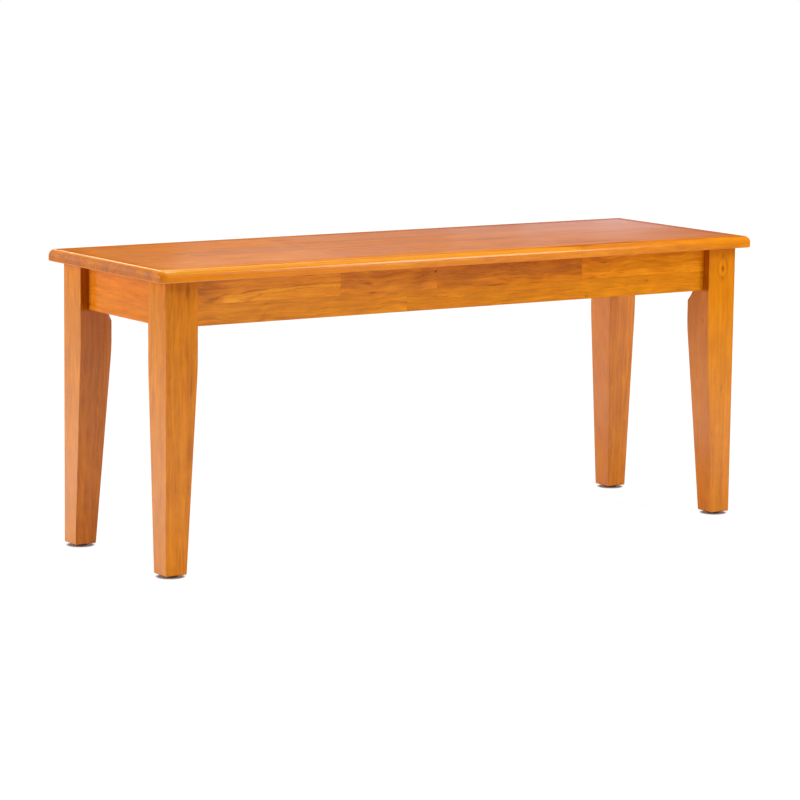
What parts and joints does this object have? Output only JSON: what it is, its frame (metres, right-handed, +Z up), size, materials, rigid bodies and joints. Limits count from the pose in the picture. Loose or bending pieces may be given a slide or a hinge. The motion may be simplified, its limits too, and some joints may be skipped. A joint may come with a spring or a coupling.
{
  "type": "shaker bench",
  "caption": "Backless wooden bench with a round-edged seat board, a set-back apron frame and legs tapered on their inner faces.",
  "frame": {"origin": "on the floor under the middle of the bench", "axes": "+X along the seat to the right as seen from the front, -Y out of the front, +Z up"},
  "size_m": [1.1, 0.355, 0.457],
  "materials": {
    "seat_wood": "honey stain under satin lacquer, glued staves along the length",
    "leg_wood": "honey stain under satin lacquer, grain along the leg",
    "apron_wood": "honey stain under satin lacquer, two rows of glued staves",
    "frame_wood": "bare light hardwood with a thin sealer",
    "dowel_wood": "bare beech",
    "screw_steel": "yellow zinc plate",
    "zinc_steel": "bright zinc plate",
    "nail_steel": "bright wire",
    "glide_plastic": "dark brown moulded plastic"
  },
  "bodies": {
    "root": {"block_screws": "screw_steel", "centre_rail": "frame_wood", "front_apron": "apron_wood", "front_left_corner_block": "frame_wood", "front_left_glide": "glide_plastic", "front_left_leg": "leg_wood", "front_right_corner_block": "frame_wood", "front_right_glide": "glide_plastic", "front_right_leg": "leg_wood", "glide_nails": "nail_steel", "hanger_bolts": "zinc_steel", "hanger_nuts": "zinc_steel", "hanger_washers": "zinc_steel", "left_apron": "apron_wood", "rail_dowels": "dowel_wood", "rear_apron": "apron_wood", "rear_left_corner_block": "frame_wood", "rear_left_glide": "glide_plastic", "rear_left_leg": "leg_wood", "rear_right_corner_block": "frame_wood", "rear_right_glide": "glide_plastic", "rear_right_leg": "leg_wood", "right_apron": "apron_wood", "seat_screws": "screw_steel", "seat_top": "seat_wood"}
  },
  "joints": []
}
